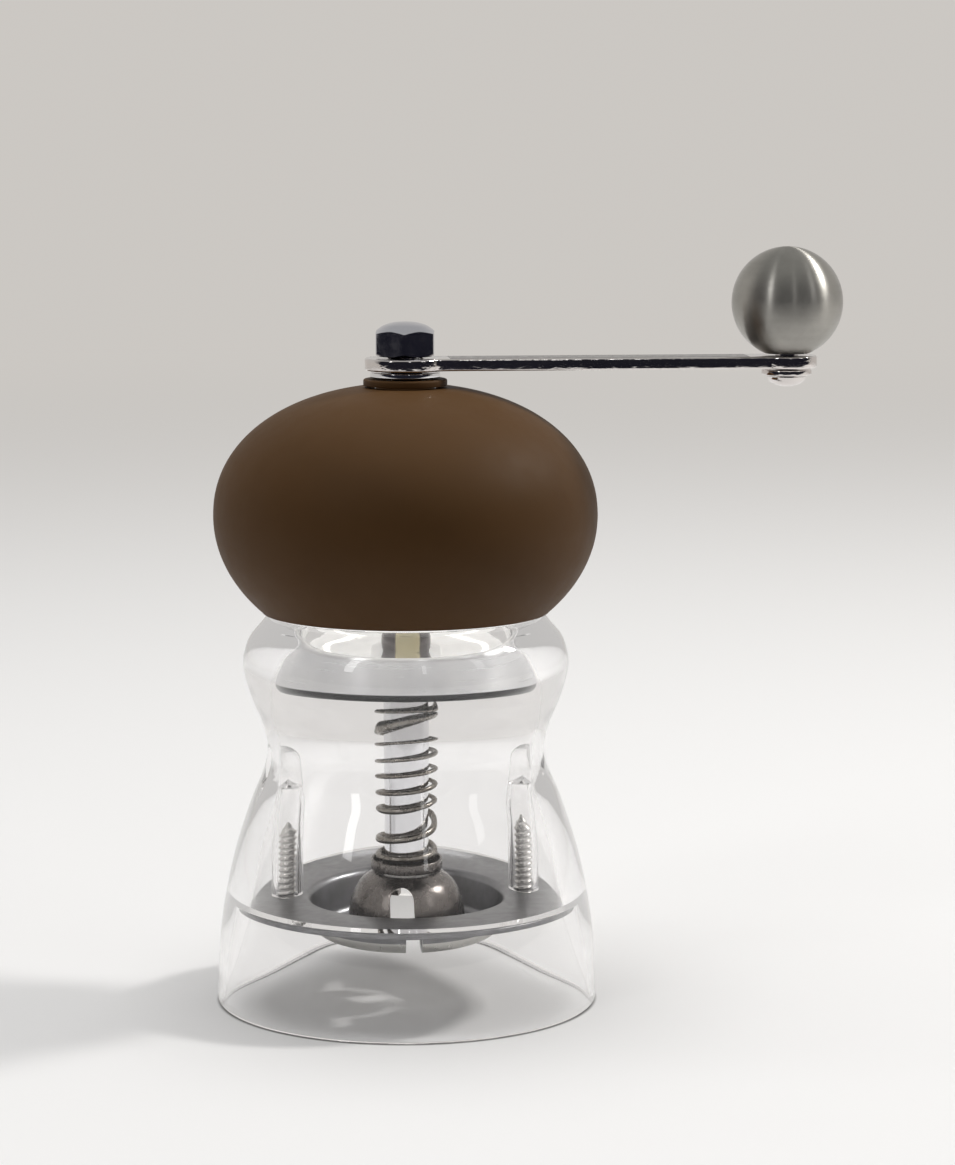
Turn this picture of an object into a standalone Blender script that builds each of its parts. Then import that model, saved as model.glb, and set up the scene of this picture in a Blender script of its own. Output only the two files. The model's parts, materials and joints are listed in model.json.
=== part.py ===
"""Crank pepper mill: a clear turned body, a round domed lid, a crank with a ball knob and a
bell-shaped grinding rotor over a pressed steel dish.

Metres, +Z up. The mill stands on z = 0 and the crank points along +X at rest, so the mill's own
axis is moved along -X to bring the middle of the whole object over the origin.
"""

import math

import bmesh
import bpy
from mathutils import Matrix, Vector

MM = 0.001
GAP = 0.3                  # clearance left between two pieces that touch, in millimetres
COARSE_STEPS = 36          # facets round the large turned pieces
FINE_STEPS = 24            # facets round the small ones
HALF_FACET = math.pi / COARSE_STEPS     # turns the drilled pieces, so that no edge meets a drill's

# Driving dimensions, in millimetres; heights are above the table, radii from the mill's axis.
CRANK_RADIUS = 62.0
DOME_RADIUS = 31.0
BALL_RADIUS = 9.0
AXIS_X = -(CRANK_RADIUS + BALL_RADIUS - DOME_RADIUS) / 2

BASE_RADIUS = 30.95
BODY_TOP = 63.7
MOUTH_RADIUS = 21.7
NECK_RADIUS = 20.4         # narrowest place of the hopper, at the waist
SEAT_HEIGHT = 17.2         # ledge above the hollow skirt, where the base plate is screwed on
SEAT_INNER_RADIUS = 25.3
SKIRT_WALL = 1.3
SCREW_CIRCLE = 19.6
SCREW_RADIUS = 1.5
PILLAR_RADIUS = 2.5        # the two screw pillars, which run into the wall at the waist
PILLAR_TOP = 43.0
PILOT_RADIUS = SCREW_RADIUS + GAP
PILOT_TOP = 36.0

PLATE_THICK = 0.9
PLATE_RADIUS = 27.9
DISH_FLOOR = 10.2
DISH_MOUTH = 10.8
SLOT_WIDTH = 2.6

DOME_CENTRE = 79.6
DOME_RISE = 21.2
DOME_DROP = 23.35
DOME_POWER = 2.15          # exponent of the upper half's slightly squared ellipse
DOME_WALL = 3.0
DOME_BOTTOM = 64.0
DOME_TOP = 100.2
BUSH_HOLE = 5.0

SHAFT_RADIUS = 3.65
SHAFT_BOTTOM = 10.4
SHAFT_SHOULDER = 100.0
SHAFT_SQUARE = 5.0
SQUARE_TOP = 104.05        # stays below the nut when the nut draws the shaft up
THREAD_RADIUS = 2.5
SHAFT_TOP = 108.5
SHAFT_FLAT = 3.15
CLIP_HEIGHT = 17.4

BELL_RADIUS = 9.6
BELL_BOTTOM = 11.5
BELL_TOP = 20.3
BELL_WALL = 1.3

SEAT_RADIUS = 5.9
SEAT_BOTTOM = 20.7
SEAT_FLOOR = 21.4
SEAT_RIM = 22.3

SPRING_RADIUS = 4.65
WIRE_RADIUS = 0.5
SPRING_TURNS = 9.0
CLOSED_PITCH = 1.15
WASHER_BOTTOM = 52.0

CUP_RADIUS = 21.3
CUP_BOTTOM = 53.1
CUP_RIM = 58.6
CUP_WALL = 0.8

ARM_BOTTOM = 103.0
ARM_TOP = 104.95
HUB_RADIUS = 6.5
EYE_RADIUS = 4.9
ARM_WIDTH = 7.4
NUT_FLATS = 9.3
NUT_BOTTOM = 105.25
NUT_TOP = 110.8
BALL_CENTRE = 113.55
BALL_FLAT = 105.3


# ---------------------------------------------------------------------------- helpers

def clear_scene():
    for item in list(bpy.data.objects):
        bpy.data.objects.remove(item, do_unlink=True)


def material(name, color, roughness, metallic=0.0, transmission=0.0):
    mat = bpy.data.materials.new(name)
    mat.use_nodes = True
    shader = mat.node_tree.nodes["Principled BSDF"]
    shader.inputs["Base Color"].default_value = (*color, 1.0)
    shader.inputs["Roughness"].default_value = roughness
    shader.inputs["Metallic"].default_value = metallic
    shader.inputs["Transmission Weight"].default_value = transmission
    return mat


def arc(centre, radius, start, end, steps):
    """Points on an arc in the (r, z) plane, from start to end degrees."""
    points = []
    for step in range(steps + 1):
        angle = math.radians(start + (end - start) * step / steps)
        points.append((centre[0] + radius * math.cos(angle), centre[1] + radius * math.sin(angle)))
    return points


def through(points, steps):
    """A smooth Catmull-Rom curve through a few design points."""
    first = (2 * points[0][0] - points[1][0], 2 * points[0][1] - points[1][1])
    last = (2 * points[-1][0] - points[-2][0], 2 * points[-1][1] - points[-2][1])
    knots = [Vector(p) for p in [first, *points, last]]
    curve = []
    for a, b, c, d in zip(knots, knots[1:], knots[2:], knots[3:]):
        for step in range(steps):
            t = step / steps
            p = 0.5 * (2 * b + (c - a) * t + (2 * a - 5 * b + 4 * c - d) * t * t
                       + (3 * b - a - 3 * c + d) * t ** 3)
            curve.append((p.x, p.y))
    curve.append(points[-1])
    return curve


def finish_mesh(name, bm, mat, sharp=35.0):
    """Turns a bmesh in millimetres into a named object, shaded smooth but for its sharp edges."""
    bmesh.ops.remove_doubles(bm, verts=bm.verts, dist=0.0005)
    bmesh.ops.dissolve_degenerate(bm, edges=bm.edges, dist=0.0001)
    bmesh.ops.recalc_face_normals(bm, faces=bm.faces)
    bmesh.ops.scale(bm, verts=bm.verts, vec=(MM, MM, MM))
    mesh = bpy.data.meshes.new(name)
    bm.to_mesh(mesh)
    bm.free()
    mesh.shade_smooth()
    mesh.set_sharp_from_angle(angle=math.radians(sharp))
    mesh.materials.append(mat)
    obj = bpy.data.objects.new(name, mesh)
    bpy.context.scene.collection.objects.link(obj)
    return obj


def lathe(name, outline, mat, steps=FINE_STEPS, sharp=35.0):
    """Turns an (r, z) outline about Z. Its stretches along the axis aren't turned."""
    bm = bmesh.new()
    verts = [bm.verts.new((r, 0.0, z)) for r, z in outline]
    off_axis = [pair for pair in zip(verts, verts[1:]) if pair[0].co.x + pair[1].co.x > 0]
    edges = [bm.edges.new(pair) for pair in off_axis]
    if outline[0][0] > 0 or outline[-1][0] > 0:
        edges.append(bm.edges.new((verts[-1], verts[0])))
    bmesh.ops.spin(bm, geom=verts + edges, cent=(0, 0, 0), axis=(0, 0, 1),
                   angle=2 * math.pi, steps=steps, use_merge=True)
    return finish_mesh(name, bm, mat, sharp)


def prism(name, outline, bottom, top, mat):
    """Extrudes a flat (x, y) outline from bottom to top."""
    bm = bmesh.new()
    face = bm.faces.new([bm.verts.new((x, y, bottom)) for x, y in outline])
    moved = bmesh.ops.extrude_face_region(bm, geom=[face])["geom"]
    corners = [v for v in moved if isinstance(v, bmesh.types.BMVert)]
    bmesh.ops.translate(bm, verts=corners, vec=(0, 0, top - bottom))
    return finish_mesh(name, bm, mat)


def cut(obj, cutter, operation="DIFFERENCE"):
    """Cuts an object with a guide shape, which is kept out of the model."""
    cutter.hide_render = True
    cutter.display_type = "WIRE"
    cutter.parent = obj.parent
    boolean = obj.modifiers.new(cutter.name, "BOOLEAN")
    boolean.operation = operation
    boolean.solver = "EXACT"
    boolean.object = cutter


def square(side):
    half = side / 2
    return [(-half, -half), (half, -half), (half, half), (-half, half)]


def double_flat(radius, flat, steps=10):
    """Outline of a round bar with two flats, facing +X and -X."""
    reach = math.degrees(math.acos(flat / radius))
    right = arc((0, 0), radius, reach, 180 - reach, steps)
    left = arc((0, 0), radius, 180 + reach, 360 - reach, steps)
    return right + left


def washer(name, inner, outer, bottom, top, mat):
    chamfer = min(0.12, (top - bottom) / 4)
    outline = [(inner, bottom), (outer - chamfer, bottom), (outer, bottom + chamfer),
               (outer, top - chamfer), (outer - chamfer, top), (inner, top)]
    return lathe(name, outline, mat)


# ---------------------------------------------------------------------------- body and plate

def body_outline():
    """Foot, bell-shaped outside, rolled shoulder, rim, tapered inside, ledge and skirt's inside."""
    foot = arc((BASE_RADIUS - 0.7, 0.7), 0.7, -90, 0, 2)
    side = through([(30.95, 2.4), (30.5, 11.0), (29.6, 17.3), (27.9, 25.0), (25.3, 33.0),
                    (23.25, 38.0), (22.55, 42.2), (23.45, 46.2), (25.1, 50.2), (26.4, 55.2),
                    (25.6, 59.3), (23.4, 62.2), (22.5, BODY_TOP - 0.3)], 2)
    mouth = [(22.2, BODY_TOP), (MOUTH_RADIUS + 0.2, BODY_TOP), (MOUTH_RADIUS, BODY_TOP - 0.3)]
    hopper = through([(MOUTH_RADIUS, 52.0), (21.1, 47.5), (NECK_RADIUS, 42.5), (20.9, 37.5),
                      (22.3, 31.0), (24.0, 24.0), (SEAT_INNER_RADIUS, SEAT_HEIGHT)], 2)
    skirt = [(PLATE_RADIUS + GAP, SEAT_HEIGHT), (BASE_RADIUS - SKIRT_WALL, 1.0),
             (BASE_RADIUS - SKIRT_WALL + 0.1, 0.0)]
    return foot + side + mouth + hopper + skirt


def screw_places():
    """The two plate screws, left and right of the axis: name and x."""
    return [("left", -SCREW_CIRCLE), ("right", SCREW_CIRCLE)]


def clear_body(acrylic):
    """Turned body with a screw pillar on each side of the hopper and a blind hole up each pillar."""
    body = lathe("clear_body", body_outline(), acrylic, steps=COARSE_STEPS)
    body.rotation_euler.z = HALF_FACET
    solid = [(0, SEAT_HEIGHT + 0.02), (PILLAR_RADIUS, SEAT_HEIGHT + 0.02), (PILLAR_RADIUS, PILLAR_TOP - 2.5),
             (PILLAR_RADIUS * 0.7, PILLAR_TOP - 0.7), (0, PILLAR_TOP)]
    pilot = [(0, SEAT_HEIGHT - 2), (PILOT_RADIUS, SEAT_HEIGHT - 2), (PILOT_RADIUS, PILOT_TOP - 1.8),
             (0, PILOT_TOP)]
    for side, x in screw_places():
        pillar = lathe(f"pillar_{side}", solid, acrylic, steps=16)
        pillar.location.x = x * MM
        cut(body, pillar, "UNION")
        drill = lathe(f"pilot_drill_{side}", pilot, acrylic, steps=16)
        drill.location.x = x * MM
        cut(body, drill)
    return body


def plate_outline():
    """Flat rim that turns down into a shallow bowl with an open middle."""
    top = SEAT_HEIGHT - GAP
    thick = PLATE_THICK
    corner = (13.9, DISH_FLOOR + 2.1)
    upper = [(PLATE_RADIUS, top)] + arc((16.9, top - 1.2), 1.2, 90, 170, 3)
    upper += arc(corner, 2.1 - thick, -10, -90, 4) + [(DISH_MOUTH, DISH_FLOOR + thick)]
    lower = [(DISH_MOUTH, DISH_FLOOR)] + arc(corner, 2.1, -90, -10, 4)
    lower += arc((17.3, top - 1.5), 0.6, 170, 90, 2) + [(PLATE_RADIUS, top - thick)]
    return upper + lower


def base_plate(steel):
    plate = lathe("base_plate", plate_outline(), steel, steps=COARSE_STEPS)
    plate.rotation_euler.z = HALF_FACET
    for side, x in screw_places():
        hole = prism(f"plate_hole_{side}", arc((0, 0), 1.85, 0, 337.5, 15), 14, 18, steel)
        hole.location.x = x * MM
        cut(plate, hole)
    for side, y in (("front", -13.0), ("back", 13.0)):
        slot = prism(f"plate_slot_{side}", square(SLOT_WIDTH), 8, 15.0, steel)
        slot.scale.y = 3.0
        slot.location.y = y * MM
        cut(plate, slot)
    return plate


def plate_screw(side, x, steel):
    """Pan-head screw, driven up through the plate into the clear body."""
    head_top = SEAT_HEIGHT - 2 * GAP - PLATE_THICK
    outline = [(0, head_top - 1.5)] + arc((2.1, head_top - 0.9), 0.7, -60, 0, 2)
    outline += [(2.8, head_top), (SCREW_RADIUS, head_top), (SCREW_RADIUS, 26.8), (0.6, 28.4), (0, 28.4)]
    screw = lathe(f"plate_screw_{side}", outline, steel, steps=20)
    screw.location.x = x * MM
    for turn in (0, 90):
        recess = prism(f"driver_recess_{side}_{turn}", square(0.8), head_top - 2, head_top - 0.7, steel)
        recess.scale.x = 3.4
        recess.rotation_euler.z = math.radians(turn + 45)
        recess.location.x = x * MM
        cut(screw, recess)
    return screw


# ---------------------------------------------------------------------------- lid

def dome_curve(radius, rise, drop, bottom, inner_r, steps):
    """Half outline of the lid from its top hole, over the equator and down to its lower edge."""
    power = 2 / DOME_POWER
    start = math.acos((inner_r / radius) ** (1 / power))
    upper = []
    for step in range(steps + 1):
        angle = start * (1 - step / steps)
        upper.append((radius * math.cos(angle) ** power, DOME_CENTRE + rise * math.sin(angle) ** power))
    end = math.asin((DOME_CENTRE - bottom) / drop)
    lower = []
    for step in range(1, steps + 1):
        angle = end * step / steps
        lower.append((radius * math.cos(angle), DOME_CENTRE - drop * math.sin(angle)))
    return upper + lower


def dome_shell(brown):
    """Hollow lid with a thick boss under its top for the neck bush."""
    outside = dome_curve(DOME_RADIUS, DOME_RISE, DOME_DROP, DOME_BOTTOM, 8.4, 6)
    outside[0] = (outside[0][0], DOME_TOP)
    inside = dome_curve(DOME_RADIUS - DOME_WALL, DOME_RISE - DOME_WALL, DOME_DROP - DOME_WALL,
                        DOME_BOTTOM, 9.0, 4)
    boss = [(9.0, 92.0), (BUSH_HOLE, 92.0), (BUSH_HOLE, DOME_TOP)]
    return lathe("dome_shell", outside + inside[::-1] + boss, brown, steps=COARSE_STEPS)


def neck_bush(brown):
    """Flanged bush in the lid's top, which carries the shaft and the thrust washer."""
    outline = [(4.05, 93.0), (BUSH_HOLE - GAP, 93.0), (BUSH_HOLE - GAP, DOME_TOP + GAP),
               (6.45, DOME_TOP + GAP), (6.75, DOME_TOP + 0.6), (6.75, 101.35), (6.5, 101.6), (4.05, 101.6)]
    return lathe("neck_bush", outline, brown)


def dome_plug(brown):
    """Disc that closes the lid's underside, with a boss for the guide bush."""
    outline = [(5.3, 60.9), (6.9, 60.9), (6.9, 64.2), (17.2, 64.2), (17.5, 64.5), (17.5, 66.4), (5.3, 66.4)]
    return lathe("dome_plug", outline, brown, steps=32)


def guide_bush(nylon):
    """Plain bush in the plug, with a flange that the sleeve stands against."""
    outline = [(3.95, 59.7), (6.2, 59.7), (6.4, 59.9), (6.4, 60.6), (5.0, 60.6), (5.0, 67.4), (3.95, 67.4)]
    return lathe("guide_bush", outline, nylon)


def shaft_sleeve(chrome):
    """Tube around the shaft that holds the stopper cup down."""
    return washer("shaft_sleeve", 3.95, 4.45, CUP_BOTTOM + CUP_WALL + GAP, 59.4, chrome)


def stopper_cup(steel):
    """Shallow open cup that closes the top of the hopper and stands on the spring's washer."""
    centre = (CUP_RADIUS - 1.5, CUP_BOTTOM + 1.5)
    outside = arc(centre, 1.5, -90, 0, 4) + [(CUP_RADIUS, CUP_RIM)]
    inside = [(CUP_RADIUS - CUP_WALL, CUP_RIM)] + arc(centre, 1.5 - CUP_WALL, 0, -90, 3)
    hub = [(3.95, CUP_BOTTOM + CUP_WALL), (3.95, CUP_BOTTOM)]
    return lathe("stopper_cup", outside + inside + hub, steel, steps=COARSE_STEPS)


# ---------------------------------------------------------------------------- crank

def arm_outline():
    """Round hub eye, straight bar and smaller knob eye, with rounded roots where they meet."""
    half = ARM_WIDTH / 2
    hub_root = math.degrees(math.asin((half + 0.6) / HUB_RADIUS))
    eye_root = math.degrees(math.asin((half + 0.1) / EYE_RADIUS))
    hub = arc((0, 0), HUB_RADIUS, hub_root, 360 - hub_root, 24)
    knob = arc((CRANK_RADIUS, 0), EYE_RADIUS, -180 + eye_root, 180 - eye_root, 20)
    lower_root = [(6.6, -half - 0.15), (8.4, -half)]
    upper_root = [(8.4, half), (6.6, half + 0.15)]
    return hub + lower_root + knob + upper_root


def crank_arm(chrome):
    """Flat plated bar with a square hole for the shaft and a round one for the knob screw."""
    arm = prism("crank_arm", arm_outline(), ARM_BOTTOM, ARM_TOP, chrome)
    bevel = arm.modifiers.new("eased_edges", "BEVEL")
    bevel.width = 0.25 * MM
    bevel.segments = 1
    bevel.limit_method = "ANGLE"
    bevel.angle_limit = math.radians(50)
    cut(arm, prism("hub_square", square(SHAFT_SQUARE + 2 * GAP), ARM_BOTTOM - 1, ARM_TOP + 1, chrome))
    hole = prism("knob_hole", arc((0, 0), 1.9, 0, 337.5, 15), ARM_BOTTOM - 1, ARM_TOP + 1, chrome)
    hole.location.x = CRANK_RADIUS * MM
    cut(arm, hole)
    return arm


def acorn_nut(chrome):
    """Domed hexagon nut with chamfered corners and a blind hole."""
    corner = NUT_FLATS / math.sqrt(3)
    turned = [(2.9, NUT_BOTTOM), (4.5, NUT_BOTTOM), (corner, NUT_BOTTOM + 0.5), (corner, 108.9),
              (4.6, 109.35)]
    turned += through([(4.6, 109.35), (3.3, 110.25), (1.7, 110.68), (0, NUT_TOP)], 2)[1:]
    turned += [(0, 109.9), (2.3, 109.9), (2.9, 109.6)]
    nut = lathe("acorn_nut", turned, chrome)
    hexagon = [(corner * math.cos(math.radians(a)), corner * math.sin(math.radians(a)))
               for a in range(24, 384, 60)]
    cut(nut, prism("hexagon_guide", hexagon, NUT_BOTTOM - 1, NUT_TOP + 1, chrome), "INTERSECT")
    return nut


# ---------------------------------------------------------------------------- knob

def knob_ball(steel):
    """Ball with a flat underside and a blind hole for its screw."""
    flat = math.degrees(math.asin((BALL_FLAT - BALL_CENTRE) / BALL_RADIUS))
    outline = arc((0, BALL_CENTRE), BALL_RADIUS, flat, 90, 12)
    outline[-1] = (0, BALL_CENTRE + BALL_RADIUS)
    blind = [(0, 113.3), (1.9, 112.6), (1.9, BALL_FLAT)]
    return lathe("knob_ball", outline + blind, steel, steps=28)


def knob_screw(chrome):
    """Domed shoulder screw that comes up through the arm's eye into the ball."""
    outline = through([(0, 99.9), (1.7, 100.2), (2.8, 100.9), (3.15, 101.5)], 2)
    outline += [(1.6, 101.5), (1.6, 111.8), (1.2, 112.2), (0, 112.2)]
    return lathe("knob_screw", outline, chrome)


# ---------------------------------------------------------------------------- grinding gear

def spring_curve(steps_per_turn=12):
    """Centre line of the spring: one closed turn at each end and an even pitch between."""
    low = SEAT_FLOOR + GAP + WIRE_RADIUS
    high = WASHER_BOTTOM - GAP - WIRE_RADIUS
    count = int(SPRING_TURNS * steps_per_turn)
    weights = []
    for step in range(count):
        turn = (step + 0.5) / steps_per_turn
        from_end = min(turn, SPRING_TURNS - turn)
        blend = min(max((from_end - 0.8) / 0.5, 0.0), 1.0)
        weights.append(blend * blend * (3 - 2 * blend))
    open_turns = sum(weights) / steps_per_turn
    extra = (high - low - SPRING_TURNS * CLOSED_PITCH) / open_turns
    points = []
    height = low
    for step in range(count + 1):
        angle = 2 * math.pi * step / steps_per_turn
        points.append((SPRING_RADIUS * math.cos(angle), SPRING_RADIUS * math.sin(angle), height))
        if step < count:
            height += (CLOSED_PITCH + extra * weights[step]) / steps_per_turn
    return points


def compression_spring(steel):
    curve = bpy.data.curves.new("compression_spring", "CURVE")
    curve.dimensions = "3D"
    curve.bevel_depth = WIRE_RADIUS * MM
    curve.bevel_resolution = 1
    curve.use_fill_caps = True
    curve.materials.append(steel)
    points = spring_curve()
    spline = curve.splines.new("POLY")
    spline.points.add(len(points) - 1)
    for knot, point in zip(spline.points, points):
        knot.co = (*(value * MM for value in point), 1.0)
    spring = bpy.data.objects.new("compression_spring", curve)
    bpy.context.scene.collection.objects.link(spring)
    return spring


def spring_seat(steel):
    """Cup ring above the bell, which the spring stands in."""
    outline = [(3.95, SEAT_BOTTOM), (5.6, SEAT_BOTTOM), (SEAT_RADIUS, SEAT_BOTTOM + 0.3),
               (SEAT_RADIUS, SEAT_RIM - 0.2), (SEAT_RADIUS - 0.2, SEAT_RIM), (5.45, SEAT_RIM),
               (5.45, SEAT_FLOOR), (3.95, SEAT_FLOOR)]
    return lathe("spring_seat", outline, steel)


def drive_shaft(chrome):
    """Round shaft with flats for the bell, a clip groove, a square and a threaded end."""
    groove = 3.0
    outline = [(0, SHAFT_BOTTOM), (SHAFT_RADIUS - 0.4, SHAFT_BOTTOM), (SHAFT_RADIUS, SHAFT_BOTTOM + 0.4),
               (SHAFT_RADIUS, CLIP_HEIGHT - GAP), (groove, CLIP_HEIGHT - GAP),
               (groove, CLIP_HEIGHT + 1.1), (SHAFT_RADIUS, CLIP_HEIGHT + 1.1),
               (SHAFT_RADIUS, SHAFT_SHOULDER), (0, SHAFT_SHOULDER)]
    shaft = lathe("drive_shaft", outline, chrome, steps=24)
    for x in (-6.0, 6.0):
        flat = prism(f"bell_flat_{x:.0f}", square(2 * (6.0 - SHAFT_FLAT)), 9.0, SEAT_BOTTOM - GAP, chrome)
        flat.scale.y = 2.0
        flat.location.x = x * MM
        cut(shaft, flat)
    stem = prism("square_guide", square(SHAFT_SQUARE), SHAFT_SHOULDER - 3, SQUARE_TOP, chrome)
    cut(shaft, stem, "UNION")
    thread = [(0, SQUARE_TOP - 2), (THREAD_RADIUS, SQUARE_TOP - 2), (THREAD_RADIUS, SHAFT_TOP - 0.4),
              (THREAD_RADIUS - 0.4, SHAFT_TOP), (0, SHAFT_TOP)]
    cut(shaft, lathe("thread_guide", thread, chrome, steps=16), "UNION")
    return shaft


def bell_outline():
    """Bell-shaped shell with a roof that the shaft passes through."""
    outer = through([(5.6, BELL_TOP), (7.6, 18.8), (8.9, 16.6), (9.5, 14.0), (BELL_RADIUS, BELL_BOTTOM)], 2)
    inner = through([(BELL_RADIUS - BELL_WALL, BELL_BOTTOM), (8.2, 14.0), (7.6, 16.2), (6.4, 18.0),
                     (5.2, BELL_TOP - BELL_WALL)], 1)
    return [(2.0, BELL_TOP)] + outer + inner + [(2.0, BELL_TOP - BELL_WALL)]


def arch_outline(width, foot, crown, steps=8):
    """Doorway outline in the (x, z) plane: straight sides under a round top."""
    half = width / 2
    return [(half, foot)] + arc((0, crown - half), half, 0, 180, steps) + [(-half, foot)]


def grinding_bell(steel):
    """Rotor with three leaning arched windows, which leave three broad cutting wings."""
    bell = lathe("grinding_bell", bell_outline(), steel, steps=32)
    cut(bell, prism("bell_keyway", double_flat(SHAFT_RADIUS + GAP, SHAFT_FLAT + GAP), 17, 22, steel))
    for index in range(3):
        arch = prism(f"bell_window_{index}", arch_outline(3.8, -4.0, 5.2), 4.3, 12.0, steel)
        lean = Matrix.Rotation(math.radians(8), 4, "Z")
        stand = Matrix.Rotation(math.radians(90), 4, "X")
        lift = Matrix.Translation(Vector((0, 0, 13.4 * MM)))
        turn = Matrix.Rotation(math.radians(-10 + 120 * index), 4, "Z")
        arch.matrix_world = turn @ lift @ stand @ lean
        cut(bell, arch)
    return bell


def bell_clip(steel):
    """C-shaped clip in the shaft's groove, which holds the bell up."""
    outline = arc((0, 0), 5.0, 290, 610, 20) + arc((0, 0), 3.45, 610, 290, 20)
    return prism("bell_clip", outline, CLIP_HEIGHT, CLIP_HEIGHT + 0.8, steel)


# ---------------------------------------------------------------------------- assembly

def place(pieces, parent_name, x):
    """Hangs pieces on an empty that stands on their joint's axis."""
    pivot = bpy.data.objects.new(parent_name, None)
    bpy.context.scene.collection.objects.link(pivot)
    pivot.location.x = x * MM
    for piece in pieces:
        piece.parent = pivot


def build():
    clear_scene()
    acrylic = material("clear_acrylic", (0.95, 0.96, 0.96), 0.03, transmission=1.0)
    brown = material("brown_soft_touch", (0.075, 0.048, 0.026), 0.5)
    chrome = material("chrome_plate", (0.80, 0.80, 0.82), 0.08, metallic=1.0)
    brushed = material("brushed_steel", (0.55, 0.54, 0.52), 0.32, metallic=1.0)
    pressed = material("pressed_steel", (0.32, 0.32, 0.33), 0.38, metallic=1.0)
    dark = material("dark_cast_steel", (0.16, 0.14, 0.13), 0.42, metallic=1.0)
    spring = material("spring_steel", (0.30, 0.29, 0.28), 0.3, metallic=1.0)
    nylon = material("cream_nylon", (0.78, 0.72, 0.52), 0.45)

    clear_body(acrylic)
    base_plate(pressed)
    for side, x in screw_places():
        plate_screw(side, x, spring)
    compression_spring(spring)
    washer("spring_washer", 3.95, 5.3, WASHER_BOTTOM, WASHER_BOTTOM + 0.7, spring)
    dome_shell(brown)
    neck_bush(brown)
    dome_plug(brown)
    guide_bush(nylon)
    shaft_sleeve(chrome)
    stopper_cup(brushed)
    washer("thrust_washer", 4.0, 5.65, 101.9, ARM_BOTTOM - GAP, chrome)
    crank_arm(chrome)
    acorn_nut(chrome)
    spring_seat(dark)
    drive_shaft(chrome)
    grinding_bell(dark)
    bell_clip(dark)
    on_axis = [item for item in bpy.data.objects if item.parent is None]
    place(on_axis, "mill_axis", AXIS_X)

    eye_washer = washer("knob_washer", 1.9, 4.05, 101.8, ARM_BOTTOM - GAP, chrome)
    place([knob_ball(brushed), knob_screw(chrome), eye_washer], "knob_axis", AXIS_X + CRANK_RADIUS)
    bpy.context.view_layer.update()


build()
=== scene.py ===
import json
import math

import bmesh
import bpy
from mathutils import Matrix, Vector


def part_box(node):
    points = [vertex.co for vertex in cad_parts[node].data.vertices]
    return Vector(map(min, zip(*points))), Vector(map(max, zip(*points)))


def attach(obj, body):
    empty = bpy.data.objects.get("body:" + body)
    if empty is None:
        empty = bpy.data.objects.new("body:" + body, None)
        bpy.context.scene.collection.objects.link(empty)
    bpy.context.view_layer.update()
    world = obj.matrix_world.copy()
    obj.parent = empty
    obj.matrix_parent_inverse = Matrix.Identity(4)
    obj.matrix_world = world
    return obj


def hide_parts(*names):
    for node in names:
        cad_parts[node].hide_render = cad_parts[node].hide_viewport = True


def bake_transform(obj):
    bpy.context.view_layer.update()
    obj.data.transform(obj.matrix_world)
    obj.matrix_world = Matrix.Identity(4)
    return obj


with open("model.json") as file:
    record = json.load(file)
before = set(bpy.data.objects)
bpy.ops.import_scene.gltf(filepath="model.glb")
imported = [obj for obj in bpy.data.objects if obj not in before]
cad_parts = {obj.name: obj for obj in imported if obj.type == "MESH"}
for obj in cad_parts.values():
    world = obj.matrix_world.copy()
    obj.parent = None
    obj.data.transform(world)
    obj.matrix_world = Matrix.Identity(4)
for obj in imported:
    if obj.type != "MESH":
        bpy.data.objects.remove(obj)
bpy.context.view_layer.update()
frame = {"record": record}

# The looks of a crank pepper mill. Every piece below is a finer version of the CAD node that it
# stands for. Outlines are in millimetres: radii from the piece's own axis, heights above the table.

MM = 0.001
GAP = 0.3                  # clearance between neighbouring pieces, as in the CAD model
ROUND_STEPS = 160          # facets round the large turned pieces
SMALL_STEPS = 96           # facets round the small ones

BODIES = frame["record"]["behaviour"]["bodies"]
BODY_OF = {node: body for body, nodes in BODIES.items() for node in nodes}


def middle(node):
    low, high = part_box(node)
    return (low + high) / 2


MILL_AXIS = middle("drive_shaft").x
KNOB_AXIS = middle("knob_ball").x
CRANK_RADIUS = (KNOB_AXIS - MILL_AXIS) / MM


# ---------------------------------------------------------------------------- outlines

def arc(centre, radius, start, end, steps):
    """Points on an arc, from start to end degrees."""
    points = []
    for step in range(steps + 1):
        angle = math.radians(start + (end - start) * step / steps)
        points.append((centre[0] + radius * math.cos(angle), centre[1] + radius * math.sin(angle)))
    return points


def through(points, steps):
    """A smooth Catmull-Rom curve through a few design points."""
    first = (2 * points[0][0] - points[1][0], 2 * points[0][1] - points[1][1])
    last = (2 * points[-1][0] - points[-2][0], 2 * points[-1][1] - points[-2][1])
    knots = [Vector(p) for p in [first, *points, last]]
    curve = []
    for a, b, c, d in zip(knots, knots[1:], knots[2:], knots[3:]):
        for step in range(steps):
            t = step / steps
            p = 0.5 * (2 * b + (c - a) * t + (2 * a - 5 * b + 4 * c - d) * t * t
                       + (3 * b - a - 3 * c + d) * t ** 3)
            curve.append((p.x, p.y))
    curve.append(points[-1])
    return curve


def square(side):
    half = side / 2
    return [(-half, -half), (half, -half), (half, half), (-half, half)]


def ring_outline(inner, outer, bottom, top, edge):
    """Section of a washer or tube with rounded outer edges."""
    lower = arc((outer - edge, bottom + edge), edge, -90, 0, 4)
    upper = arc((outer - edge, top - edge), edge, 0, 90, 4)
    return [(inner, bottom)] + lower + upper + [(inner, top)]


# ---------------------------------------------------------------------------- meshes

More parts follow.
